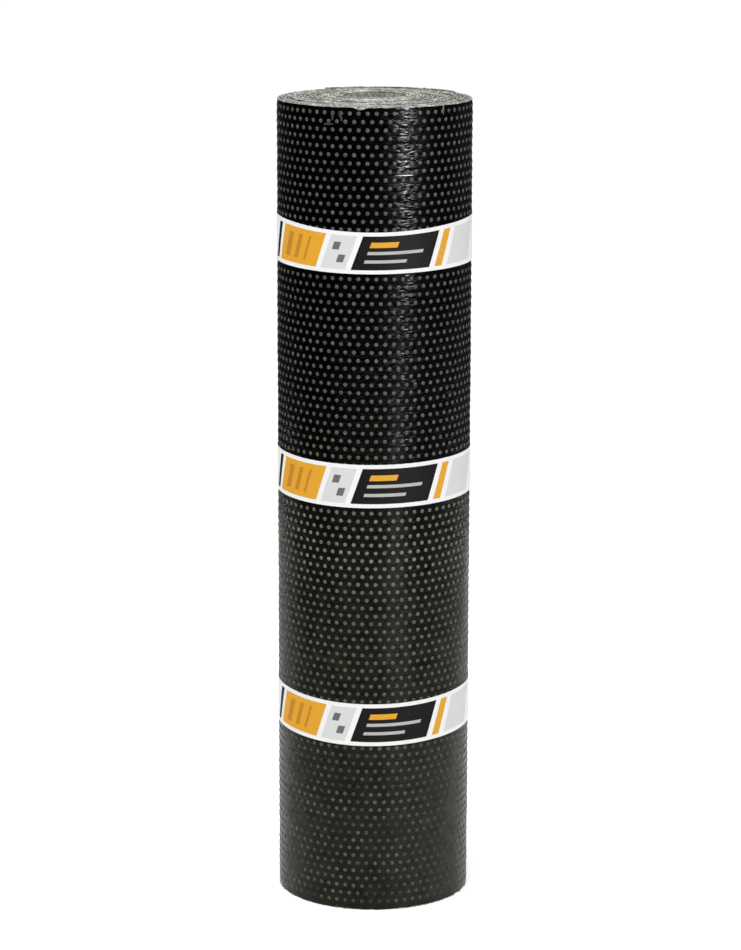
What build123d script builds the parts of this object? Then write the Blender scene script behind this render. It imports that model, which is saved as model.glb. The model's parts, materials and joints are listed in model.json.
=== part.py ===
from build123d import *

import math
import os

# A roll of roofing felt that stands on its end, held closed by three paper bands.
# Millimetres, +Z up. The origin is on the axis of the bore, in the plane that the roll stands on.
# The sheet is wound about two centres in turn: every half turn is a half circle, half a pitch
# smaller than the one before it, and together they make a spiral of constant pitch.

# The sheet and its winding
sheet_width = 1000.0  # the height of the roll as it stands
sheet_length = 10000.0
sheet_thickness = 3.8
winding_gap = 0.25  # air between one turn and the next
bore_diameter = 75.0
tail_angle = 120.0  # where the outer end of the sheet lies, turned from +X towards +Y

# The cut edges of the sheet: each turn has a short lip on its inner face,
# and falls away from there to its outer face, so that the seams between turns lie low
edge_lip = 0.9
edge_fall = 0.8
inner_end_gap = 1.0  # the slit where the sheet begins, at the bore

# The paper bands, and the height of the middle of each as a share of the height of the roll
band_width = 54.0
band_thickness = 0.2
band_clearance = 0.1
lower_band_ratio = 0.243
middle_band_ratio = 0.542
upper_band_ratio = 0.829

# The outer end of the sheet, its tail, lies on top of a full turn.
# Its half turn has the tail radius, and the half turn that runs in under it is half a pitch smaller.
pitch = sheet_thickness + winding_gap
bore_radius = bore_diameter / 2
mean_radius = math.sqrt(bore_radius**2 + sheet_length * pitch / math.pi)
tail_radius = mean_radius + pitch / 4
under_radius = mean_radius - pitch / 4
tail_centre = pitch / 4
under_centre = -pitch / 4
turn_count = int((under_radius - bore_radius) / pitch) - 1

# +X of the winding plane points from the axis to the tail, and the tail's half turn is on its -Y side.
# The section plane stands on the same +X and holds the axis.
winding = Plane.XY.rotated((0, 0, tail_angle))
section = Plane(winding.origin, x_dir=winding.x_dir, z_dir=-winding.y_dir)


def cut_edges(outside):
    """Points along one end of the roll, from the bore to this outside radius, as radius and depth."""
    innermost_seam = outside - turn_count * pitch
    points = [(bore_radius / 2, 0), (innermost_seam - edge_lip, 0)]
    for turn in range(turn_count, 0, -1):
        seam = outside - turn * pitch
        points += [(seam, edge_fall), (seam + edge_lip, 0)]
    return points + [(outside, edge_fall)]


def half_section(centre, outside):
    """The roll's section on one side of a winding centre, from end to end."""
    foot = [(centre + radius, depth) for radius, depth in cut_edges(outside)]
    head = [(x, sheet_width - depth) for x, depth in foot]
    return foot + head[::-1]


def taut_edges(gap):
    """A band drawn tight at this gap from the roll, straight from the tail's corner to the turn below."""
    landing_radius = under_radius + gap
    corner = tail_centre + tail_radius + gap
    landing_angle = math.degrees(math.acos(landing_radius / (corner - under_centre)))
    with BuildLine() as band_path:
        CenterArc((tail_centre, 0), tail_radius + gap, 0, -180)
        landing = CenterArc((under_centre, 0), landing_radius, 180, landing_angle - 180)
        Line(landing @ 1, (corner, 0))
    return band_path.edges()


os.makedirs("parts", exist_ok=True)

# The roll: both halves are turned, each about its own centre, and leave the tail's step where they meet.
# The bore is cut round the axis, and at both ends a slit runs from it to the innermost seam.
with BuildPart() as felt_roll:
    for centre, outside, towards in ((tail_centre, tail_radius, -1), (under_centre, under_radius, 1)):
        with BuildSketch(section):
            with BuildLine():
                Polyline(half_section(centre, outside), close=True)
            make_face()
        axis = Axis(winding.from_local_coords((centre, 0, 0)), (0, 0, towards))
        revolve(axis=axis, revolution_arc=180)
    with BuildSketch(winding):
        Circle(bore_radius)
    extrude(amount=sheet_width, mode=Mode.SUBTRACT)
    slit_end = under_centre + under_radius - turn_count * pitch
    for end, inwards in ((winding, 1), (winding.offset(sheet_width), -1)):
        with BuildSketch(end):
            with Locations((slit_end / 2, 0)):
                Rectangle(slit_end, inner_end_gap)
        extrude(amount=inwards * edge_fall, mode=Mode.SUBTRACT)
felt_roll.part.label = "felt_roll"
export_step(felt_roll.part, "parts/felt_roll.step")

# The bands: rings of thin paper drawn tight round the roll and its tail
bands = {"lower_band": lower_band_ratio, "middle_band": middle_band_ratio, "upper_band": upper_band_ratio}
for name, height_ratio in bands.items():
    with BuildPart() as band:
        with BuildSketch(winding.offset(height_ratio * sheet_width - band_width / 2)):
            make_face(taut_edges(band_clearance + band_thickness))
            make_face(taut_edges(band_clearance), mode=Mode.SUBTRACT)
        extrude(amount=band_width)
    band.part.label = name
    export_step(band.part, f"parts/{name}.step")
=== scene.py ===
import json
import math

import bmesh
import bpy
import numpy as np
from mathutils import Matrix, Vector


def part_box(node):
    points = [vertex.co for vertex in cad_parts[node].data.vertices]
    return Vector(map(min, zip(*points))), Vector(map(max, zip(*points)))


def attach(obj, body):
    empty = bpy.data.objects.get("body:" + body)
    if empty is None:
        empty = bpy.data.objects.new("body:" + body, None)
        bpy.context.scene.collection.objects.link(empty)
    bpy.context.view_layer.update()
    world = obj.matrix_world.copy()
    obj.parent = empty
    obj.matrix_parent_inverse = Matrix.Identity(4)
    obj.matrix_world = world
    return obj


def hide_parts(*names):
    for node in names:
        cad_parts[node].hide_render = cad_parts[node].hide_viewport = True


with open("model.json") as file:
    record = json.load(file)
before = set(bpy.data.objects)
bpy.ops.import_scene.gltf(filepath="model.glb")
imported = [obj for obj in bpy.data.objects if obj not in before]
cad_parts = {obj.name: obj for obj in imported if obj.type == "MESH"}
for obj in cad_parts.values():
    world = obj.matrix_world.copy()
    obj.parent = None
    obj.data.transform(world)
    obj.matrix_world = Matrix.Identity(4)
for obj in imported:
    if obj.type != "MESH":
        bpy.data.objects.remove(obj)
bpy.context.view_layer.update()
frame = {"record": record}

# A roll of roofing felt, standing on its end. Metres, +Z up, seen from -Y.
MM = 0.001
SHARP_ANGLE = math.radians(60)  # an edge that turns by more than this isn't shaded smooth

# The sheet and its winding, as the solids have them
ROLL_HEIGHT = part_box("felt_roll")[1].z
BORE_RADIUS = next(m["dims"]["r_mm"] for m in frame["record"]["mounts"] if m["kind"] == "bore") * MM
SHEET_LENGTH = 10.0
SHEET_THICKNESS = 3.8 * MM
WINDING_GAP = 0.25 * MM
PITCH = SHEET_THICKNESS + WINDING_GAP
MEAN_RADIUS = math.sqrt(BORE_RADIUS**2 + SHEET_LENGTH * PITCH / math.pi)
TAIL_RADIUS = MEAN_RADIUS + PITCH / 4
UNDER_RADIUS = MEAN_RADIUS - PITCH / 4
TAIL_ANGLE = math.radians(120)
TURNS = int((TAIL_RADIUS - SHEET_THICKNESS - BORE_RADIUS) / PITCH) + 1

# The cut edges of the sheet: a crumbled crown across its thickness, with uneven turns
STATIONS_PER_TURN = 210
EDGE_ACROSS = np.array([0.0, 0.35, 1.1, 1.9, 2.7, 3.45, 3.8]) * MM
EDGE_FALL = np.array([1.7, 0.55, 0.15, 0.0, 0.15, 0.55, 1.7]) * MM
EDGE_CRUMBLE = 0.28 * MM
CRUMBLE_SEED = 11
TURN_UNEVENNESS = 0.85 * MM
UNEVEN_FROM = (0.6, 2.5)  # turns from the tail between which the unevenness sets in
UNEVEN_WAVES = (0.17, 0.31, 0.55, 0.9, 1.7, 2.9)  # in each turn
UNEVEN_STRENGTH = (0.25, 0.5)  # least and most of each wave
UNEVEN_SEED = 3
TAIL_RISE = 1.7 * MM  # the tail is pushed up out of line near its end
TAIL_RISE_TO = (0.235, 0.25)  # turns from the tail between which it falls back into line
INNER_RISE = 2.6 * MM  # the turns stand higher towards the bore
INNER_RISE_FROM = 2  # turns from the tail

# The film and its raised dots
FILM_LIFT = 0.12 * MM
FILM_BED = 0.4 * MM  # how deep the film's back lies in the outermost turn
FILM_BED_TO = (1.0, 1.01)  # turns from the tail between which that bed ends
DOTS_ROUND = 69
STEPS_ROUND = 2 * DOTS_ROUND  # half steps, because the rows are staggered
DOT_ROWS = 101
DOT_PITCH = 2 * math.pi * MEAN_RADIUS / DOTS_ROUND
ROW_PITCH = ROLL_HEIGHT / DOT_ROWS
ROW_DROP = 3.2 * MM  # how far the rows sit below an even spacing, so that the cut at the foot takes one
DOT_SIDES = 12
DOT_RINGS = ((2.5 * MM, 0.0), (1.95 * MM, 0.42 * MM))
DOT_REACH = DOT_RINGS[0][0]
DOT_HEIGHT = 0.55 * MM
DOT_MARGIN = 0.3 * MM  # the least film left above the uppermost dots
FILM_RIPPLE = 0.09 * MM
RIPPLE_LENGTHS = np.array([160, 110, 74, 52, 38, 29]) * MM
RIPPLE_SEED = 5
FILM_HELD = 40 * MM  # how far from a band the ripples reach their full height
FILM_TUCK = 0.9 * MM  # how far the film's edge stays short of the sheet's edge
FILM_RAGGED = 0.45 * MM
RAGGED_SEED = 23
EDGE_CURL = 0.35 * MM  # how far the film draws in at the upper edge
EDGE_CURL_FROM = 14 * MM
# Folds pinched up out of the film: direction round the roll and slope from level, in degrees,
# then height, length, width and lift in millimetres, and how far the face leans up
CREASES = ((-72.5, 0, 918, 26, 2.6, 0.3, 0.09),)
SCUFFED_FOLDS = (
    (-117.3, 2, 978.4, 13.5, 2.4, 0.25, 0),
    (-114.9, 88, 988.7, 11.5, 3.4, 0.5, 0),
    (-109.9, 107, 988.2, 12.5, 3.6, 0.5, 0),
)
EDGE_SMEARS = ((-46.5, 90, 993.4, 11.5, 3.2, 0.45, 0),)
FOLD_POINTS = (15, 7)  # along and across a fold
FOLD_TIP = 0.03  # the least fullness, at a fold's tips
NICK_ANGLE = math.radians(-98)
NICK_WIDTH = 4.6 * MM
NICK_DEPTH = 3.8 * MM
NICK_REACH = 1.5 * MM  # how far into the sheet's thickness the chip goes

# The film's finish, and its dust, painted sheen and wear as pairs of a height in metres and the amount there
FILM_GLOSS = 0.08
FILM_CRUMPLE = 2.2 * MM
PINCHED_GLOSS = 0.2
PINCHED_CRUMPLE = 0.4 * MM
DUST_TINT = (0.96, 1.0, 0.84, 1.0)
# Paler towards the floor: partly dust, partly painted sheen for the hazier light on the lower film
LOWER_DUST_AND_SHEEN_BY_HEIGHT = ((0.2, 0.72), (0.32, 0.95), (0.45, 0.42), (0.6, 0.1), (0.8, 0.0))
HAZE_ROUGHNESS = 0.12
# Dust low on the right side, painted lighter there as well: partly dust, partly painted sheen for the
# brighter reflection on that side
FOOT_DUST_AND_SHEEN_BY_HEIGHT = ((0.12, 1.0), (0.3, 0.0))
FOOT_DUST_AND_SHEEN_FROM = (0.0, 0.07)  # distances to the right of the axis between which it sets in
FOOT_DUST_AND_SHEEN_ON_DOTS = 0.55
DOT_DUST_BY_HEIGHT = ((0.46, 1.0), (0.6, 0.0))
DOT_FADE_BY_HEIGHT = ((0.2, 0.59), (0.3, 0.54), (0.39, 0.61), (0.45, 0.98))
DOT_WEAR_BY_HEIGHT = ((0.16, 0.8), (0.3, 0.0))

# The paper bands
BANDS = ("upper_band", "middle_band", "lower_band")
BAND_GAP = DOT_HEIGHT + FILM_LIFT + 0.06 * MM
BAND_RANGES = [[side.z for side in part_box(band)] for band in BANDS]
BAND_THICKNESS = 0.18 * MM
BAND_STEP = math.radians(2.5)
BAND_LAP_START = math.radians(75)
BAND_LAP = math.radians(14)
BAND_LAP_CLIMB = 0.06  # radians over which the free end climbs onto the start
BAND_LAP_LIFT = 1.3 * BAND_THICKNESS
BAND_FLUTTER = 0.12 * MM  # how far the edges stand off here and there
FLUTTERS_ROUND = 9
FLUTTER_SHIFT = 40  # radians from one edge of a band to the other
BAND_WAVE = 0.25 * MM  # how far a band runs up and down
WAVES_ROUND = 3
WAVE_SHIFT = 20  # radians for each metre of height
# How far the front of each band sags below the rest of it, at its lower and at its upper edge,
# and the share of that by which the rest stands above the middle
BAND_SAGS = ((2.4 * MM, 9.0 * MM), (1.8 * MM, 2.7 * MM), (4.5 * MM, 5.7 * MM))
SAG_RAISED = 0.4
PRINT_SLANT = 0.35  # sideways lean of the panels' ends for each unit of height
PRINT_SLANT_TO = (0.165, 0.24)  # distances from the middle of the front between which the lean ends
# Blocks of ink in millimetres from the middle of a band's front: from, to, low, high and ink
PRINT_BLOCKS = (
    (-160, -150, -22, 22, "dark"),
    (-142, -68, -22, 22, "orange"),
    (-128, -118, -15, 15, "rust"),
    (-108, -101, -15, 15, "rust"),
    (-91, -87, -15, 15, "rust"),
    (-61, -28, -22, 22, "grey"),
    (-54, -45, 3, 13, "ink"),
    (-43, -34, -13, -3, "ink"),
    (-21, 78, -22, 22, "dark"),
    (-8, 26, 7, 14, "orange"),
    (-8, 62, -2, 2, "pale"),
    (-8, 44, -13, -9, "pale"),
    (86, 97, -22, 22, "orange"),
    (106, 158, -22, 22, "grey"),
)

# Loose granules that cling to the cut edges
GRANULES_ON_TOP = 2600
GRANULES_AT_FOOT = 260
GRANULE_SIZE = (0.45 * MM, 1.15 * MM)
GRANULE_SHAPE = (1.0, 0.8, 0.6)  # length, width and thickness, as shares of its size
GRANULE_JAG = (0.55, 1.0)  # least and most reach of a corner, as shares of those
GRANULE_AREA = (0.1, 1.0)  # where they lie on top, as shares of the end's area from the middle
GRANULE_ACROSS = (0.1, 0.9)  # where they lie on a turn, as shares of the sheet's thickness
FOOT_ACROSS = (-0.5, 0.0)  # where they lie at the foot, in their own sizes in from the outer face
FOOT_HEIGHT = 0.5  # in their own sizes
GRANULE_SEED = 41
CHIPS_AT_FOOT = 30
CHIP_SIZE = (0.8 * MM, 2.0 * MM)
CHIP_SPREAD = (math.radians(-52), math.radians(-6))
CRUMB_ANGLE = math.radians(-112.5)
CRUMB_SIZE = 4.0 * MM

# Camera: where it stands, from the roll's axis and base, and how it looks
CAMERA_DISTANCE = 4.0
CAMERA_HEIGHT = 1.3947
CAMERA_SIDE = -0.005
CAMERA_TILT = math.radians(12.21)
CAMERA_ROLL = math.radians(-0.115)
CAMERA_LENS = 124.29
SENSOR_WIDTH = 36.0

# The studio's floor and world
AMBIENT = 0.75
FLOOR_COLOUR = (0.86, 0.86, 0.86, 1)
FLOOR_GLOW = 0.42
FLOOR_RADIUS = 30.0
CIRCLE_SIDES = 96

# The screen round the set, and its skirt, which lies on the floor
SCREEN_RADIUS = 2.7
SCREEN_HEIGHT = 2.0
SCREEN_GREY = 60
PALE_GREY = 112
PALE_STRETCH = (-32, 45)  # where the screen is paler, on the right, in degrees
SKIRT_RADIUS = 2.0  # of the skirt's inner edge
SKIRT_LIFT = 2 * MM
# On both sides of the front the skirt comes closer, in wings:
# the middle and half the width of each, in degrees
SKIRT_WINGS = ((-164, 27), (-33, 17))
WING_RADIUS = 0.85
WING_BLEND = 0.25  # a wing ends over this share of half its width, on both sides of its end

# The lamps: angles are turned from the front to the right, and sizes are width and height
KEY_ANGLE = math.radians(37)
KEY_DISTANCE = 2.6
KEY_HEIGHT = 1.55
KEY_AIM = 0.7
KEY_SIZE = (0.6, 1.3)
KEY_POWER = 9.5
SHEEN_HEIGHT = 1.45
SHEEN_SIZE = (0.24, 0.9)
SHEEN_POWER = 180
CARD_ANGLE = math.radians(25.5)
CARD_DISTANCE = 1.5
CARD_HEIGHT = 0.08
CARD_SIZE = (0.3, 0.14)
CARD_POWER = 2.6
TOP_PLACE = (-0.4, -0.6, 3.2)
TOP_AIM = 0.5
TOP_SIZE = (1.6, 1.6)
TOP_POWER = 45


def srgb(red, green, blue):
    """A linear colour from the usual 0 to 255 values."""
    parts = np.array([red, green, blue]) / 255
    linear = np.where(parts <= 0.04045, parts / 12.92, ((parts + 0.055) / 1.055) ** 2.4)
    return (*linear.tolist(), 1.0)


def smooth_step(low, high, value):
    """0 up to the low value and 1 from the high one, with a smooth rise between them."""
    share = np.clip((value - low) / (high - low), 0, 1)
    return share * share * (3 - 2 * share)


# Winding


def plan_directions(angle):
    """Unit vectors in plan, turned by these angles from +X."""
    return np.stack([np.cos(angle), np.sin(angle)], axis=-1)


def winding(turns, outwards=0.0):
    """Points in plan on the sheet's outer face, or this far outside it, so many turns in from the tail."""
    turns = np.asarray(turns, float)
    half = np.floor(2 * turns)
    radius = TAIL_RADIUS - half * PITCH / 2 + outwards
    centre = np.where(half % 2 == 0, PITCH / 4, -PITCH / 4)
    return (
        centre[..., None] * plan_directions(np.array(TAIL_ANGLE))
        + radius[..., None] * plan_directions(TAIL_ANGLE - 2 * np.pi * turns)
    )


def wander(turns):
    """A smooth random curve along the sheet, mostly between -1 and 1."""
    rng = np.random.default_rng(UNEVEN_SEED)
    curve = np.zeros_like(turns)
    for per_turn in UNEVEN_WAVES:
        strength = rng.uniform(*UNEVEN_STRENGTH)
        start = rng.uniform(0, 2 * np.pi)
        curve += strength * np.sin(2 * np.pi * per_turn * turns + start)
    return curve


def rise(turns):
    """How far the sheet stands up out of line, so many turns in from the tail."""
    uneven = TURN_UNEVENNESS * (1 + np.clip(wander(turns), -1, 1)) * smooth_step(*UNEVEN_FROM, turns)
    tail = TAIL_RISE * (1 - smooth_step(*TAIL_RISE_TO, turns))
    inner = INNER_RISE * smooth_step(INNER_RISE_FROM, TURNS, turns)
    return uneven + tail + inner


def turns_at(angle):
    """Turns from the tail to this direction on the outermost turn."""
    return ((TAIL_ANGLE - angle) / (2 * np.pi)) % 1.0


def nick(turns):
    """Depth of the chip in the upper edge, at the front."""
    away = (turns - turns_at(NICK_ANGLE)) * 2 * np.pi * MEAN_RADIUS
    return NICK_DEPTH * np.exp(-((away / NICK_WIDTH) ** 2))


# Meshes


def join(plan, height):
    """Points from plan positions and heights."""
    height = np.broadcast_to(height, plan.shape[:-1])
    return np.concatenate([plan, height[..., None]], axis=-1)


def make_piece(name, points, faces, materials, indices, nodes, smooth=True):
    """A piece of the object, closed and facing outwards, that stands for these solids."""
    mesh = bpy.data.meshes.new(name)
    mesh.from_pydata(np.asarray(points).reshape(-1, 3).tolist(), [], faces)
    for material in materials:
        mesh.materials.append(material)
    mesh.polygons.foreach_set("material_index", np.asarray(indices, np.int32))
    mesh.polygons.foreach_set("use_smooth", np.full(len(faces), smooth))
    shape = bmesh.new()
    shape.from_mesh(mesh)
    bmesh.ops.recalc_face_normals(shape, faces=shape.faces)
    for side in shape.edges:
        kinds = {face.material_index for face in side.link_faces}
        side.smooth = len(kinds) == 1 and side.calc_face_angle(0) < SHARP_ANGLE
    shape.to_mesh(mesh)
    shape.free()
    piece = bpy.data.objects.new(name, mesh)
    bpy.context.scene.collection.objects.link(piece)
    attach(piece, "root")
    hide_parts(*nodes)
    return piece


def back_and_rims(low, high, first, last, back_low, back_high):
    """Faces that close a thin shell behind its front, from the numbers of its border points."""
    faces = []
    for i in range(len(low) - 1):
        faces.append([back_low[i], back_low[i + 1], back_high[i + 1], back_high[i]])
        faces.append([low[i], low[i + 1], back_low[i + 1], back_low[i]])
        faces.append([high[i], back_high[i], back_high[i + 1], high[i + 1]])
    faces.append([*first, back_high[0], back_low[0]])
    faces.append([*last, back_high[-1], back_low[-1]])
    return [[int(number) for number in face] for face in faces]


def border_numbers(start, length):
    """Numbers of the points of two borders, one after the other."""
    return start + np.arange(length), start + length + np.arange(length)


def thin_shell(front, behind):
    """Points, front faces and closing faces of a thin shell. The grid behind only gives its borders."""
    numbers = np.arange(front[..., 0].size).reshape(front.shape[:2])
    quads = np.stack([numbers[:-1, :-1], numbers[1:, :-1], numbers[1:, 1:], numbers[:-1, 1:]], axis=-1)
    borders = border_numbers(numbers.size, len(numbers))
    closing = back_and_rims(numbers[:, 0], numbers[:, -1], numbers[0], numbers[-1], *borders)
    points = np.concatenate([front.reshape(-1, 3), behind[:, 0], behind[:, -1]])
    return points, quads.reshape(-1, 4).tolist(), closing


# Materials


class Shader:
    """A principled material with short ways to add its textures."""

    def __init__(self, name, **inputs):
        self.material = bpy.data.materials.new(name)
        self.material.use_nodes = True
        self.tree = self.material.node_tree
        self.surface = self.tree.nodes["Principled BSDF"]
        self.place = self.tree.nodes.new("ShaderNodeTexCoord").outputs["Object"]
        for socket, value in inputs.items():
            self.surface.inputs[socket.replace("_", " ")].default_value = value

    def node(self, kind, links=None, **settings):
        made = self.tree.nodes.new(kind)
        for key, value in settings.items():
            setattr(made, key, value)
        for socket, value in (links or {}).items():
            if isinstance(value, bpy.types.NodeSocket):
                self.tree.links.new(value, made.inputs[socket])
            else:
                made.inputs[socket].default_value = value
        return made

    def stretched(self, x, y, z):
        return self.node("ShaderNodeMapping", {"Vector": self.place, "Scale": (x, y, z)}).outputs["Vector"]

    def height(self):
        """Metres above the floor: from 0 to 1 on the roll, so it can lead a ramp."""
        return self.node("ShaderNodeSeparateXYZ", {"Vector": self.place}).outputs["Z"]

    def rightwards(self, start, end):
        """0 up to this distance to the right of the axis, rising to 1."""
        right = self.node("ShaderNodeSeparateXYZ", {"Vector": self.place}).outputs["X"]
        links = {"Value": right, "From Min": start, "From Max": end}
        return self.node("ShaderNodeMapRange", links).outputs["Result"]

    def noise(self, scale, detail=3.0, roughness=0.55, place=None):
        links = {"Vector": place or self.place, "Scale": scale, "Detail": detail, "Roughness": roughness}
        return self.node("ShaderNodeTexNoise", links).outputs["Fac"]

    def cells(self, scale, output="Color"):
        return self.node("ShaderNodeTexVoronoi", {"Vector": self.place, "Scale": scale}).outputs[output]

    def ramp(self, factor, *stops):
        """Stops are pairs of a position and a colour, or a grey level."""
        node = self.node("ShaderNodeValToRGB", {"Fac": factor})
        elements = node.color_ramp.elements
        while len(elements) < len(stops):
            elements.new(0.5)
        for element, (position, colour) in zip(elements, stops):
            element.position = position
            element.color = colour if isinstance(colour, tuple) else (colour, colour, colour, 1.0)
        return node.outputs["Color"]

    def mix(self, factor, first, second, blend="MIX"):
        """The node has sockets of the same names for numbers, so those for colours go by their places."""
        links = {0: factor, 6: first, 7: second}
        return self.node("ShaderNodeMix", links, data_type="RGBA", blend_type=blend).outputs[2]

    def combine(self, first, second, operation="ADD"):
        return self.node("ShaderNodeMath", {0: first, 1: second}, operation=operation).outputs[0]

    def bump(self, height, distance, strength, normal=None):
        links = {"Height": height, "Distance": distance, "Strength": strength}
        if normal:
            links["Normal"] = normal
        return self.node("ShaderNodeBump", links).outputs["Normal"]

    def finish(self, **links):
        for socket, value in links.items():
            self.tree.links.new(value, self.surface.inputs[socket.replace("_", " ")])
        return self.material


def foot_dust_and_sheen(s):
    """How much of the dust low on the right side lies here, and its colour: partly dust, partly painted
    sheen that stands in for the brighter reflection on that side.
    """
    low = s.ramp(s.height(), *FOOT_DUST_AND_SHEEN_BY_HEIGHT)
    amount = s.combine(low, s.rightwards(*FOOT_DUST_AND_SHEEN_FROM), "MULTIPLY")
    colour = s.ramp(s.noise(70, 5, 0.65), (0.35, srgb(22, 25, 19)), (0.75, srgb(46, 49, 41)))
    return amount, colour


def film_material(name, dust=0.0, gloss=FILM_GLOSS, crumple=FILM_CRUMPLE):
    """Glossy black film, finely creased, with dust that grows towards the floor, partly painted sheen that
    stands in for the paler light on the lower film.
    """
    s = Shader(name, Specular_IOR_Level=gloss, Sheen_Weight=dust, Sheen_Tint=DUST_TINT)
    clean = s.ramp(s.noise(40, 4, 0.6), (0.35, srgb(0, 0, 0)), (0.75, srgb(4, 4, 4)))
    # The dusty colour that grows towards the floor is partly dust and partly painted sheen for the hazier
    # light on the lower film
    dusty = s.ramp(s.noise(55, 5, 0.65), (0.38, srgb(8, 9, 4)), (0.68, srgb(35, 36, 24)))
    lower_dust_and_sheen = s.ramp(s.height(), *LOWER_DUST_AND_SHEEN_BY_HEIGHT)
    # Dust low on the right: partly dust, partly painted sheen for the brighter reflection on that side
    amount, foot_dust_and_sheen_colour = foot_dust_and_sheen(s)
    colour = s.mix(amount, s.mix(lower_dust_and_sheen, clean, dusty), foot_dust_and_sheen_colour)
    polish = s.ramp(s.noise(140, 3), (0.3, 0.18), (0.75, 0.3))
    roughness = s.combine(polish, s.combine(lower_dust_and_sheen, HAZE_ROUGHNESS, "MULTIPLY"))
    uneven = s.combine(s.noise(100, 2, 0.5, place=s.stretched(0.45, 0.45, 1.3)), 0.5, "SUBTRACT")
    folds = s.combine(uneven, 0.0, "ABSOLUTE")
    puckers = s.noise(60, 2, 0.5)
    normal = s.bump(puckers, 0.5 * MM, 0.5, normal=s.bump(folds, crumple, 0.8))
    return s.finish(Base_Color=colour, Roughness=roughness, Normal=normal)


def dot_material():
    """The tops of the raised dots, scuffed to a matte grey, duller towards the floor."""
    s = Shader("scuffed_dots", Specular_IOR_Level=0.1)
    scuffs = s.ramp(s.noise(160, 3), (0.3, srgb(60, 61, 59)), (0.72, srgb(100, 100, 96)))
    dusty = s.ramp(s.noise(160, 3), (0.3, srgb(84, 85, 75)), (0.72, srgb(132, 133, 120)))
    faded = s.mix(1.0, dusty, s.ramp(s.height(), *DOT_FADE_BY_HEIGHT), "MULTIPLY")
    bright = s.mix(s.ramp(s.height(), *DOT_DUST_BY_HEIGHT), scuffs, faded)
    patches = s.ramp(s.noise(30, 3), (0.42, 0.0), (0.6, 1.0))
    worn = s.combine(s.ramp(s.height(), *DOT_WEAR_BY_HEIGHT), patches, "MULTIPLY")
    # The dots low on the right take the same dust and painted sheen
    amount, foot_dust_and_sheen_colour = foot_dust_and_sheen(s)
    covered = s.combine(s.combine(amount, FOOT_DUST_AND_SHEEN_ON_DOTS, "MULTIPLY"), worn, "MAXIMUM")
    colour = s.mix(covered, bright, foot_dust_and_sheen_colour)
    roughness = s.ramp(s.noise(420, 2), (0.3, 0.5), (0.7, 0.7))
    return s.finish(Base_Color=colour, Roughness=roughness, Normal=s.bump(s.noise(900, 2), 0.1 * MM, 0.5))


def scuff_material():
    """Film that was pinched and rubbed dull."""
    s = Shader("scuffed_film", Specular_IOR_Level=0.1)
    colour = s.ramp(s.noise(260, 4, 0.65), (0.32, srgb(32, 32, 29)), (0.7, srgb(84, 84, 78)))
    roughness = s.ramp(s.noise(420, 2), (0.3, 0.45), (0.7, 0.65))
    return s.finish(Base_Color=colour, Roughness=roughness, Normal=s.bump(s.noise(700, 2), 0.2 * MM, 0.6))


def granular_material(name, dark, middle, light, grain):
    """Stone granules and dust in bitumen: speckled, mottled and rough."""
    s = Shader(name, Specular_IOR_Level=0.25)
    speckle = s.ramp(s.cells(grain), (0.15, dark), (0.55, middle), (0.95, light))
    mottle = s.ramp(s.noise(130, 3, 0.6), (0.36, 0.5), (0.6, 1.0))
    patches = s.ramp(s.noise(45, 3), (0.38, 0.55), (0.6, 1.0))
    colour = s.mix(1.0, s.mix(1.0, speckle, mottle, "MULTIPLY"), patches, "MULTIPLY")
    roughness = s.ramp(s.noise(300, 2), (0.3, 0.8), (0.7, 0.95))
    grains = s.bump(s.cells(grain, "Distance"), 0.5 * MM, 0.8)
    normal = s.bump(s.noise(330, 3), 0.5 * MM, 0.7, normal=grains)
    return s.finish(Base_Color=colour, Roughness=roughness, Normal=normal)


def paper_material(name, colour, mottling):
    """Smooth coated paper, bare or printed."""
    s = Shader(name, Specular_IOR_Level=0.05)
    shade = s.ramp(s.noise(420, 3), (0.3, 1 - mottling), (0.7, 1.0))
    roughness = s.ramp(s.noise(200, 2), (0.3, 0.5), (0.7, 0.62))
    fibres = s.noise(1300, 2, place=s.stretched(1, 1, 2.5))
    normal = s.bump(s.noise(70, 2), 0.35 * MM, 0.5, normal=s.bump(fibres, 0.04 * MM, 0.5))
    return s.finish(Base_Color=s.mix(1.0, shade, colour, "MULTIPLY"), Roughness=roughness, Normal=normal)


# The wound sheet


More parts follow.
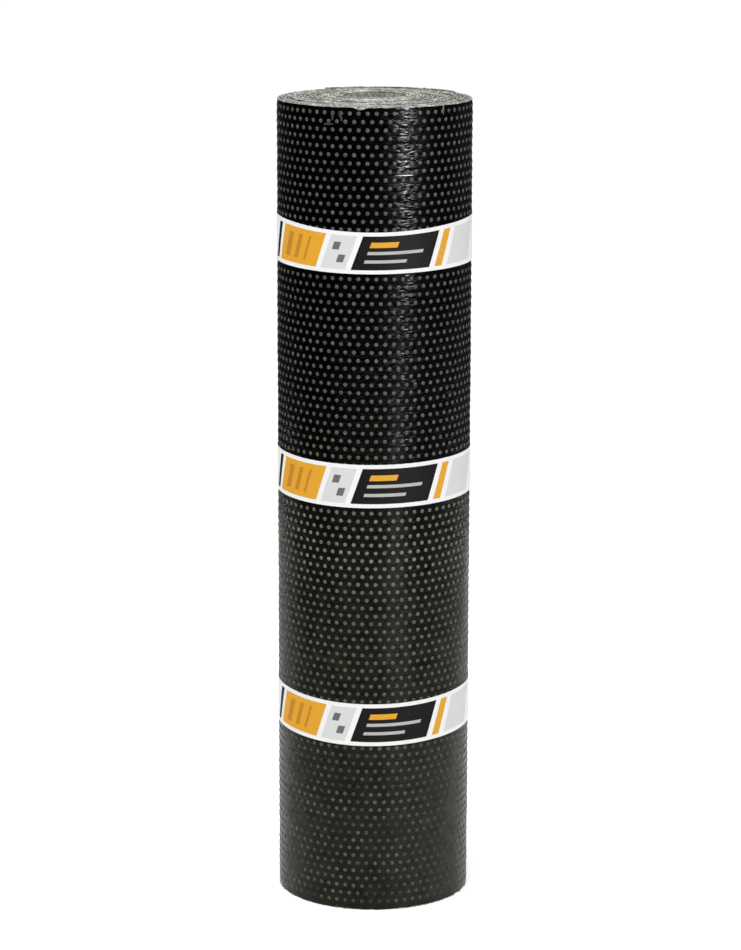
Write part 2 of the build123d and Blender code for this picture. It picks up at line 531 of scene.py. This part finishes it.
def wound_felt(film, edge, inside, bitumen):
    """The whole sheet from its tail to its inner end, as one closed ribbon."""
    rng = np.random.default_rng(CRUMBLE_SEED)
    turns = np.linspace(0, TURNS, TURNS * STATIONS_PER_TURN + 1)
    lift = rise(turns)[:, None]
    under_film = FILM_BED * (1 - smooth_step(*FILM_BED_TO, turns))
    plan = np.stack([winding(turns, -np.maximum(across, under_film)) for across in EDGE_ACROSS], axis=1)
    crumble = rng.normal(0, EDGE_CRUMBLE, (2, len(turns), len(EDGE_ACROSS)))
    chipped = nick(turns)[:, None] * np.clip(1 - EDGE_ACROSS / NICK_REACH, 0, 1) * (turns[:, None] < 1)
    top = join(plan, ROLL_HEIGHT + lift - EDGE_FALL - np.abs(crumble[0]) - chipped)
    foot = join(plan, lift + EDGE_FALL + np.abs(crumble[1]))
    points = np.concatenate([top, foot[:, ::-1]], axis=1)
    around = points.shape[1]
    numbers = np.arange(points.shape[0] * around).reshape(-1, around)
    following = np.roll(numbers, -1, axis=1)
    quads = np.stack([numbers[:-1], following[:-1], following[1:], numbers[1:]], axis=-1)
    faces = quads.reshape(-1, 4).tolist() + [numbers[0].tolist(), numbers[-1].tolist()]

    # Material numbers of the strips round the ribbon's section. The seams between turns are bare bitumen
    film_strip, edge_strip, inside_strip, bitumen_strip = range(4)
    strips = np.full((len(turns) - 1, around), edge_strip)
    inner_face = len(EDGE_ACROSS) - 1
    strips[:, [inner_face - 1, inner_face + 1]] = bitumen_strip
    strips[turns[:-1] >= 1, 0] = bitumen_strip
    strips[turns[:-1] >= 1, around - 2] = bitumen_strip
    strips[:, inner_face] = inside_strip
    strips[:, -1] = film_strip
    indices = strips.reshape(-1).tolist() + [edge_strip, edge_strip]
    materials = (film, edge, inside, bitumen)
    return make_piece("wound_felt", points, faces, materials, indices, ["felt_roll"])


# The film


def ripple(turns, height):
    """The film's shallow waves, as a distance outwards."""
    rng = np.random.default_rng(RIPPLE_SEED)
    arc = turns * 2 * np.pi * MEAN_RADIUS
    waves = np.zeros(np.broadcast(turns, height).shape)
    for length in RIPPLE_LENGTHS:
        heading = rng.uniform(0, np.pi)
        along = arc * np.cos(heading) + height * np.sin(heading)
        waves += np.sin(2 * np.pi * along / length + rng.uniform(0, 2 * np.pi))
    from_band = np.min([np.maximum(low - height, height - high) for low, high in BAND_RANGES], axis=0)
    curl = smooth_step(ROLL_HEIGHT - EDGE_CURL_FROM, ROLL_HEIGHT, height)
    return FILM_RIPPLE * waves * smooth_step(0, FILM_HELD, from_band) * (1 - curl) - EDGE_CURL * curl


def film_points(turns, height, lift=0.0):
    """Points on the film's front, or this far off it."""
    outwards = FILM_LIFT + ripple(turns, height) + lift
    return join(winding(turns, outwards), height + rise(turns))


def row_height(row):
    """Height of the lower border of this row of cells. The rows count from 1 at the foot."""
    return (row - 1) * ROW_PITCH - ROW_DROP


def film_borders(first_row, end_row):
    """Heights of the zigzag lines between the rows of six-sided cells, over half steps round the roll."""
    steps = np.arange(STEPS_ROUND + 1)
    lines = np.arange(first_row, end_row + 1)
    zigzag = np.where((steps[None, :] + lines[:, None]) % 2 == 1, -1, 1) * ROW_PITCH / 6
    heights = row_height(lines)[:, None] + zigzag
    rng = np.random.default_rng(RAGGED_SEED)
    ragged = np.abs(rng.normal(0, FILM_RAGGED, (2, len(steps))))
    if first_row == 1:
        heights[0] = FILM_TUCK + ragged[0]
    if end_row == DOT_ROWS + 1:
        chipped = ROLL_HEIGHT - FILM_TUCK - ragged[1] - nick(steps / STEPS_ROUND)
        heights[-1] = np.maximum(chipped, row_height(DOT_ROWS + 0.5) + DOT_REACH + DOT_MARGIN)
    return heights


def dot_points(middles, height):
    """Points of the dots in one row: the ring round each dot's foot, the ring round its top, and its top."""
    side_angles = np.radians(30) + np.arange(DOT_SIDES) * 2 * np.pi / DOT_SIDES
    groups = []
    for radius, lift in DOT_RINGS:
        turns = (middles[:, None] - radius * np.cos(side_angles) / (DOT_PITCH / 2)) / STEPS_ROUND
        heights = np.broadcast_to(height + radius * np.sin(side_angles), turns.shape)
        groups.append(film_points(turns, heights, lift).reshape(-1, 3))
    groups.append(film_points(middles / STEPS_ROUND, np.full(len(middles), height), DOT_HEIGHT))
    return groups


def dot_faces(cells, base, shoulder, tops):
    """Faces of a row of cells: film from each cell's border to its dot, then the dot's flank and top."""
    faces, indices = [], []
    for cell, low, high, top in zip(cells, base, shoulder, tops):
        corners = [cell[2], cell[1], cell[0], cell[5], cell[4], cell[3]]
        for i in range(6):
            j = (i + 1) % 6
            faces.append([corners[i], corners[j], low[(2 * i + 2) % DOT_SIDES], low[2 * i + 1], low[2 * i]])
        for i in range(DOT_SIDES):
            j = (i + 1) % DOT_SIDES
            faces.append([low[i], low[j], high[j], high[i]])
            faces.append([high[i], high[j], top])
        indices += [0] * 6 + [1] * (2 * DOT_SIDES)
    return faces, indices


def film_section(name, first_row, end_row, bare, film, dot):
    """Part of the dotted film, from one row up to another. Bare rows have no dots."""
    heights = film_borders(first_row, end_row)
    step_turns = np.arange(STEPS_ROUND + 1) / STEPS_ROUND
    front = film_points(np.broadcast_to(step_turns, heights.shape), heights)
    behind = [join(winding(step_turns, -FILM_BED), heights[i] + rise(step_turns)) for i in (0, -1)]
    points = [front.reshape(-1, 3), *behind]
    numbers = np.arange(heights.size).reshape(heights.shape)
    borders = border_numbers(heights.size, len(step_turns))
    count = heights.size + 2 * len(step_turns)
    faces, indices = [], []
    for row in range(first_row, end_row):
        low, high = numbers[row - first_row], numbers[row - first_row + 1]
        middles = np.arange(1 + row % 2, STEPS_ROUND, 2)
        if row % 2:
            faces += [[low[0], low[1], high[1], high[0]], [low[-2], low[-1], high[-1], high[-2]]]
            indices += [0, 0]
        upper = [high[middles + beside] for beside in (-1, 0, 1)]
        lower = [low[middles + beside] for beside in (1, 0, -1)]
        cells = np.stack(upper + lower, axis=1)
        if bare(row):
            faces += cells.tolist()
            indices += [0] * len(cells)
            continue
        numbered = []
        for group in dot_points(middles, row_height(row + 0.5)):
            points.append(group)
            numbered.append(count + np.arange(len(group)))
            count += len(group)
        base, shoulder = [ring.reshape(-1, DOT_SIDES) for ring in numbered[:2]]
        faces_here, indices_here = dot_faces(cells, base, shoulder, numbered[2])
        faces += faces_here
        indices += indices_here
    faces = [[int(number) for number in face] for face in faces]
    closing = back_and_rims(numbers[0], numbers[-1], numbers[:, 0], numbers[:, -1], *borders)
    faces += closing
    indices += [0] * len(closing)
    return make_piece(name, np.concatenate(points), faces, (film, dot), indices, ["felt_roll"])


def dotted_film(films, dot):
    """The film in sections that meet out of sight, under the bands, from the top down."""

    def bare(row):
        """Whether the row is out of sight under a band all round, or cut through at the foot."""
        middle = row_height(row + 0.5)
        for (low, high), (low_sag, high_sag) in zip(BAND_RANGES, BAND_SAGS):
            always_from = low + SAG_RAISED * low_sag + DOT_REACH
            always_to = high - (1 - SAG_RAISED) * high_sag - DOT_REACH
            if always_from < middle < always_to:
                return True
        return middle < DOT_REACH + FILM_TUCK

    joints = [round(((low + high) / 2 + ROW_DROP) / ROW_PITCH) + 1 for low, high in BAND_RANGES]
    limits = [DOT_ROWS + 1, *joints, 1]
    names = ("film_top", "film_upper", "film_lower", "film_foot")
    for name, film, first, end in zip(names, films, limits[1:], limits[:-1]):
        film_section(name, first, end, bare, film, dot)


def fold_shell(direction, slope, middle_height, length, width, lift, lean):
    """One short straight fold of film, as points and faces."""
    along_share, across_share = [np.linspace(-1, 1, count) for count in FOLD_POINTS]
    share = along_share[:, None]
    across = across_share[None, :]
    slim = np.sqrt(np.clip(1 - share**2, FOLD_TIP, 1))
    outward = plan_directions(np.array(direction))
    along = plan_directions(np.array(direction + np.pi / 2))
    turn = turns_at(direction)
    middle = winding(turn, FILM_LIFT + ripple(turn, np.array(middle_height)))
    from_middle = across * slim * width / 2
    reach = share * length / 2 + 0 * from_middle
    sideways = reach * math.cos(slope) - from_middle * math.sin(slope)
    upwards = reach * math.sin(slope) + from_middle * math.cos(slope)

    def layer(out):
        plan = middle + sideways[..., None] * along + out[..., None] * outward
        return join(plan, middle_height + upwards)

    front = layer(lift * slim * (1 - across**4) - lean * from_middle)
    behind = layer(-2 * FILM_BED + 0 * from_middle)
    points, faces, closing = thin_shell(front, behind)
    return points, faces + closing


def film_folds(name, folds, material):
    """Short folds pinched up out of the film, joined in one piece."""
    points, faces = [], []
    for direction, slope, height, length, width, lift, lean in folds:
        sizes = [size * MM for size in (height, length, width, lift)]
        shell, sides = fold_shell(math.radians(direction), math.radians(slope), *sizes, lean)
        first = sum(len(earlier) for earlier in points)
        points.append(shell)
        faces += [[first + number for number in side] for side in sides]
    indices = [0] * len(faces)
    return make_piece(name, np.concatenate(points), faces, (material,), indices, ["felt_roll"])


# The bands


def taut_line(angle, gap):
    """Points in plan on a band drawn tight at this gap round the roll, in these directions."""
    landing_radius = UNDER_RADIUS + gap
    corner_radius = TAIL_RADIUS + gap
    landing = math.acos(landing_radius / (corner_radius + PITCH / 2))
    back = (TAIL_ANGLE - angle) % (2 * np.pi)
    to_tail = plan_directions(np.array(TAIL_ANGLE))
    on_tail = to_tail * PITCH / 4 + corner_radius * plan_directions(TAIL_ANGLE - back)
    on_under = -to_tail * PITCH / 4 + landing_radius * plan_directions(TAIL_ANGLE - back)
    share = np.clip((2 * np.pi - back) / landing, 0, 1)[..., None]
    foot = -to_tail * PITCH / 4 + landing_radius * plan_directions(np.array(TAIL_ANGLE + landing))
    corner = to_tail * (PITCH / 4 + corner_radius)
    bridge = corner + (foot - corner) * share
    back = back[..., None]
    return np.where(back <= np.pi, on_tail, np.where(share < 1, bridge, on_under))


def print_panels():
    """Blocks of ink on a band, in metres from the middle of its front: from, to, low, high and ink."""
    return [(*(side * MM for side in block[:4]), block[4]) for block in PRINT_BLOCKS]


def band_angles(radius):
    """Directions round a band from its start to its free end, with the sides of the panels among them."""
    ends = sorted({end for panel in print_panels() for end in panel[:2]})
    print_angles = [-np.pi / 2 + end / radius for end in ends]
    plain = np.arange(BAND_LAP_START - 2 * np.pi, BAND_LAP_START + BAND_LAP + BAND_STEP / 2, BAND_STEP)
    clear = [angle for angle in plain if min(abs(angle - other) for other in print_angles) > BAND_STEP / 8]
    return np.array(sorted(clear + print_angles))


def ink_numbers(away, across, inks):
    """Material numbers of the faces between these places round and across a band. 0 is bare paper."""
    mid_away = (away[:-1] + away[1:]) / 2
    mid_across = (across[:-1] + across[1:]) / 2
    inked = np.zeros((len(mid_away), len(mid_across)), int)
    for start, end, bottom, top, ink in print_panels():
        hit = np.outer((mid_away > start) & (mid_away < end), (mid_across > bottom) & (mid_across < top))
        inked[hit] = list(inks).index(ink) + 1
    return inked


def paper_band(name, sags, paper, inks):
    """One band, printed on the front, with the free end of the paper lapped over its start at the back."""
    low, high = [side.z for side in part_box(name)]
    middle, width = (low + high) / 2, high - low
    radius = MEAN_RADIUS + BAND_GAP + BAND_THICKNESS
    angles = band_angles(radius)
    away = (angles + np.pi / 2) * radius
    print_edges = {edge for panel in print_panels() for edge in panel[2:4]}
    across = np.array(sorted({-width / 2, width / 2, *print_edges}))
    lean = PRINT_SLANT * (1 - smooth_step(*PRINT_SLANT_TO, np.abs(away)))
    shifted = angles[:, None] + lean[:, None] * across[None, :] / radius
    lapped = smooth_step(BAND_LAP_START - BAND_LAP_CLIMB, BAND_LAP_START, angles) * BAND_LAP_LIFT
    towards_edge = (np.abs(across) / width * 2) ** 4
    flutter = np.sin(FLUTTERS_ROUND * shifted + FLUTTER_SHIFT * across / width) * towards_edge
    sag = np.interp(across, (-width / 2, width / 2), sags)
    at_front = np.clip(-np.sin(shifted), 0, 1) ** 2
    wave = BAND_WAVE * np.sin(WAVES_ROUND * shifted + WAVE_SHIFT * middle)
    heights = middle + across + sag * (SAG_RAISED - at_front) + wave

    def layer(lift):
        plan = np.empty((*shifted.shape, 2))
        for i, extra in enumerate(lapped):
            plan[i] = taut_line(shifted[i], BAND_GAP + extra + lift)
        plan += plan_directions(shifted) * (BAND_FLUTTER * np.abs(flutter))[..., None]
        return join(plan, heights)

    points, faces, closing = thin_shell(layer(BAND_THICKNESS), layer(0.0))
    faces += closing
    indices = ink_numbers(away, across, inks).reshape(-1).tolist() + [0] * len(closing)
    return make_piece(name + "_paper", points, faces, (paper, *inks.values()), indices, [name])


# The granules


def loose_granules(stone, bitumen):
    """Chips of stone that cling to the cut edges on top and round the foot, each bedded in the felt."""
    rng = np.random.default_rng(GRANULE_SEED)
    corners = np.array([[1, 0, 0], [-1, 0, 0], [0, 1, 0], [0, -1, 0], [0, 0, 1], [0, 0, -1]], float)
    sides = [[0, 2, 4], [2, 1, 4], [1, 3, 4], [3, 0, 4], [2, 0, 5], [1, 2, 5], [3, 1, 5], [0, 3, 5]]
    top_turns = TURNS * (1 - np.sqrt(rng.uniform(*GRANULE_AREA, GRANULES_ON_TOP)))
    foot_turns = rng.uniform(0, 1, GRANULES_AT_FOOT)
    chip_turns = turns_at(np.append(rng.uniform(*CHIP_SPREAD, CHIPS_AT_FOOT), CRUMB_ANGLE))
    turns = np.concatenate([top_turns, foot_turns, chip_turns])
    low = np.arange(len(turns)) >= GRANULES_ON_TOP
    size = rng.uniform(*GRANULE_SIZE, len(turns))
    size[-len(chip_turns):] = np.append(rng.uniform(*CHIP_SIZE, CHIPS_AT_FOOT), CRUMB_SIZE)
    across = rng.uniform(*GRANULE_ACROSS, len(turns)) * SHEET_THICKNESS
    across[low] = rng.uniform(*FOOT_ACROSS, low.sum()) * size[low]
    crown = np.interp(across, EDGE_ACROSS, EDGE_FALL)
    height = np.where(low, size * FOOT_HEIGHT, ROLL_HEIGHT - crown + rise(turns))
    places = join(np.stack([winding(t, -a) for t, a in zip(turns, across)]), height)
    points = []
    for place, reach in zip(places, size):
        chip = corners * rng.uniform(*GRANULE_JAG, (len(corners), 1)) * reach * np.array(GRANULE_SHAPE)
        tumble, _ = np.linalg.qr(rng.normal(size=(3, 3)))
        points.append(chip @ tumble + place)
    points = np.concatenate(points)
    points[:, 2] = np.maximum(points[:, 2], 0)
    faces = [[len(corners) * i + number for number in side] for i in range(len(turns)) for side in sides]
    indices = [0] * (len(faces) - len(sides)) + [1] * len(sides)
    materials = (stone, bitumen)
    return make_piece("loose_granules", points, faces, materials, indices, ["felt_roll"], False)


# Build the object

film = film_material("black_film")
hazy_film = film_material("hazy_film", dust=0.03)
dusty_film = film_material("dusty_film", dust=0.12)
pinched_film = film_material("pinched_film", gloss=PINCHED_GLOSS, crumple=PINCHED_CRUMPLE)
dot = dot_material()
scuffs = scuff_material()
edge = granular_material("cut_edge", srgb(136, 137, 129), srgb(188, 189, 180), srgb(224, 224, 216), 420)
# The sheet's inner face is pale, and painted a little paler than the cut edge: a painted fill light that
# makes up for the shade in the bore
slate_and_fill = granular_material("slate_face_and_painted_fill", srgb(150, 151, 144), srgb(192, 193, 185), srgb(220, 220, 212), 520)
stone = granular_material("stone_chips", srgb(120, 122, 116), srgb(172, 173, 166), srgb(214, 214, 206), 400)
bitumen = granular_material("bitumen", srgb(66, 66, 61), srgb(100, 100, 93), srgb(136, 136, 128), 420)
paper = paper_material("white_paper", srgb(246, 246, 245), 0.03)
inks = {
    "dark": paper_material("dark_ink", srgb(31, 28, 28), 0.25),
    "grey": paper_material("pale_grey_ink", srgb(222, 222, 222), 0.03),
    "orange": paper_material("orange_ink", srgb(234, 170, 54), 0.06),
    "pale": paper_material("light_grey_ink", srgb(190, 190, 188), 0.06),
    "ink": paper_material("mid_grey_ink", srgb(112, 112, 112), 0.12),
    "rust": paper_material("deep_orange_ink", srgb(206, 140, 44), 0.08),
}

wound_felt(film, edge, slate_and_fill, bitumen)
dotted_film((film, film, hazy_film, dusty_film), dot)
film_folds("film_crease", CREASES, pinched_film)
film_folds("film_scuffs", SCUFFED_FOLDS, scuffs)
film_folds("edge_smear", EDGE_SMEARS, bitumen)
for band, sags in zip(BANDS, BAND_SAGS):
    paper_band(band, sags, paper, inks)
loose_granules(stone, bitumen)


# The studio: a pale floor, soft light and a camera


def circle():
    """Directions round a circle of the studio."""
    return np.arange(CIRCLE_SIDES) * 2 * np.pi / CIRCLE_SIDES


def stage_mesh(name, points, faces):
    """A mesh that belongs to the studio and not to the object."""
    mesh = bpy.data.meshes.new(name)
    mesh.from_pydata(points.tolist(), [], faces)
    made = bpy.data.objects.new(name, mesh)
    bpy.context.scene.collection.objects.link(made)
    return made


def round_floor(name):
    """The floor that the roll stands on."""
    points = join(FLOOR_RADIUS * plan_directions(circle()), 0.0)
    return stage_mesh(name, points, [list(range(CIRCLE_SIDES))])


def skirt_radius(angles):
    """Radius of the skirt's inner edge in these directions."""
    radius = np.full(angles.shape, SKIRT_RADIUS)
    for middle, half_width in SKIRT_WINGS:
        away = np.abs((np.degrees(angles) - middle + 180) % 360 - 180)
        beyond = smooth_step((1 - WING_BLEND) * half_width, (1 + WING_BLEND) * half_width, away)
        radius += (WING_RADIUS - SKIRT_RADIUS) * (1 - beyond)
    return radius


def dark_wall(name):
    """A round screen with a skirt that lies on the floor inside it. Part of the screen is paler."""
    angles = circle()
    skirt_edge = skirt_radius(angles)[:, None]
    rings = ((skirt_edge, SKIRT_LIFT), (SCREEN_RADIUS, SKIRT_LIFT), (SCREEN_RADIUS, SCREEN_HEIGHT))
    points = np.concatenate([join(radius * plan_directions(angles), height) for radius, height in rings])
    faces = []
    for first in range(0, CIRCLE_SIDES * (len(rings) - 1), CIRCLE_SIDES):
        for i in range(CIRCLE_SIDES):
            j = (i + 1) % CIRCLE_SIDES
            faces.append([first + i, first + j, first + CIRCLE_SIDES + j, first + CIRCLE_SIDES + i])
    wall = stage_mesh(name, points, faces)
    wall.data.materials.append(screen_paint("dark_screen", SCREEN_GREY))
    wall.data.materials.append(screen_paint("pale_screen", PALE_GREY))
    for face in wall.data.polygons:
        direction = math.degrees(math.atan2(face.center.y, face.center.x))
        upright = face.index >= CIRCLE_SIDES
        face.material_index = int(upright and PALE_STRETCH[0] < direction < PALE_STRETCH[1])
    return wall


def screen_paint(name, grey):
    """Plain matte paint."""
    material = bpy.data.materials.new(name)
    material.use_nodes = True
    surface = material.node_tree.nodes["Principled BSDF"]
    surface.inputs["Base Color"].default_value = srgb(grey, grey, grey)
    surface.inputs["Roughness"].default_value = 1.0
    return material


def seen_directly(tree):
    """1 where a ray from the camera, or one that a glossy or clear surface sends on, meets this."""
    path = tree.nodes.new("ShaderNodeLightPath")
    seen = path.outputs["Is Camera Ray"]
    for name in ("Is Glossy Ray", "Is Transmission Ray"):
        larger = tree.nodes.new("ShaderNodeMath")
        larger.operation = "MAXIMUM"
        tree.links.new(seen, larger.inputs[0])
        tree.links.new(path.outputs[name], larger.inputs[1])
        seen = larger.outputs[0]
    return seen


def floor_material():
    """A white floor that stays white to the eye and still takes the roll's soft shadow."""
    material = bpy.data.materials.new("studio_floor")
    material.use_nodes = True
    tree = material.node_tree
    tree.nodes.clear()
    matte = tree.nodes.new("ShaderNodeBsdfDiffuse")
    matte.inputs["Color"].default_value = FLOOR_COLOUR
    glow = tree.nodes.new("ShaderNodeEmission")
    strength = tree.nodes.new("ShaderNodeMath")
    strength.operation = "MULTIPLY"
    strength.inputs[1].default_value = FLOOR_GLOW
    both = tree.nodes.new("ShaderNodeAddShader")
    output = tree.nodes.new("ShaderNodeOutputMaterial")
    tree.links.new(seen_directly(tree), strength.inputs[0])
    tree.links.new(strength.outputs[0], glow.inputs["Strength"])
    tree.links.new(matte.outputs[0], both.inputs[0])
    tree.links.new(glow.outputs[0], both.inputs[1])
    tree.links.new(both.outputs[0], output.inputs["Surface"])
    return material


def world_light():
    """An even soft light from all round, white where it is seen."""
    world = bpy.data.worlds.new("studio_world")
    bpy.context.scene.world = world
    world.use_nodes = True
    tree = world.node_tree
    tree.nodes.clear()
    ambient = tree.nodes.new("ShaderNodeBackground")
    ambient.inputs["Strength"].default_value = AMBIENT
    white = tree.nodes.new("ShaderNodeBackground")
    for background in (ambient, white):
        background.inputs["Color"].default_value = (1, 1, 1, 1)
    mix = tree.nodes.new("ShaderNodeMixShader")
    output = tree.nodes.new("ShaderNodeOutputWorld")
    tree.links.new(seen_directly(tree), mix.inputs[0])
    tree.links.new(ambient.outputs[0], mix.inputs[1])
    tree.links.new(white.outputs[0], mix.inputs[2])
    tree.links.new(mix.outputs[0], output.inputs["Surface"])


def from_front(angle, distance, height):
    """A place at this distance from the axis, turned from the front to the right."""
    return (distance * math.sin(angle), -distance * math.cos(angle), height)


def soft_box(name, place, aim, size, power):
    """A rectangular lamp that faces the axis at the height of its aim."""
    lamp = bpy.data.lights.new(name, "AREA")
    lamp.shape = "RECTANGLE"
    lamp.size, lamp.size_y = size
    lamp.energy = power
    made = bpy.data.objects.new(name, lamp)
    bpy.context.scene.collection.objects.link(made)
    made.location = place
    facing = Vector((0, 0, aim)) - made.location
    made.rotation_euler = facing.to_track_quat("-Z", "Y").to_euler()
    return made


floor = round_floor("studio_floor")
floor.data.materials.append(floor_material())

# Only reflections see the screen and its skirt, which keep the film dark between the lamps' sheens
screen = dark_wall("dark_screen")
screen.visible_camera = False
screen.visible_diffuse = False
screen.visible_shadow = False

world_light()
key_place = from_front(KEY_ANGLE, KEY_DISTANCE, KEY_HEIGHT)
soft_box("key_light", key_place, KEY_AIM, KEY_SIZE, KEY_POWER)

# A strip in the same direction, and a low card for the lower film, only show as a sheen
sheen_place = from_front(KEY_ANGLE, KEY_DISTANCE, SHEEN_HEIGHT)
sheen = soft_box("sheen_light", sheen_place, SHEEN_HEIGHT, SHEEN_SIZE, SHEEN_POWER)
sheen.visible_diffuse = False
card_place = from_front(CARD_ANGLE, CARD_DISTANCE, CARD_HEIGHT)
card = soft_box("low_card", card_place, CARD_HEIGHT, CARD_SIZE, CARD_POWER)
card.visible_diffuse = False
card.visible_camera = False

soft_box("top_light", TOP_PLACE, TOP_AIM, TOP_SIZE, TOP_POWER)

lens = bpy.data.cameras.new("camera")
lens.lens = CAMERA_LENS
lens.sensor_width = SENSOR_WIDTH
camera = bpy.data.objects.new("camera", lens)
bpy.context.scene.collection.objects.link(camera)
camera.location = (CAMERA_SIDE, -CAMERA_DISTANCE, CAMERA_HEIGHT)
camera.rotation_euler = (math.pi / 2 - CAMERA_TILT, CAMERA_ROLL, 0)
bpy.context.scene.camera = camera
bpy.context.scene.view_settings.view_transform = "Standard"
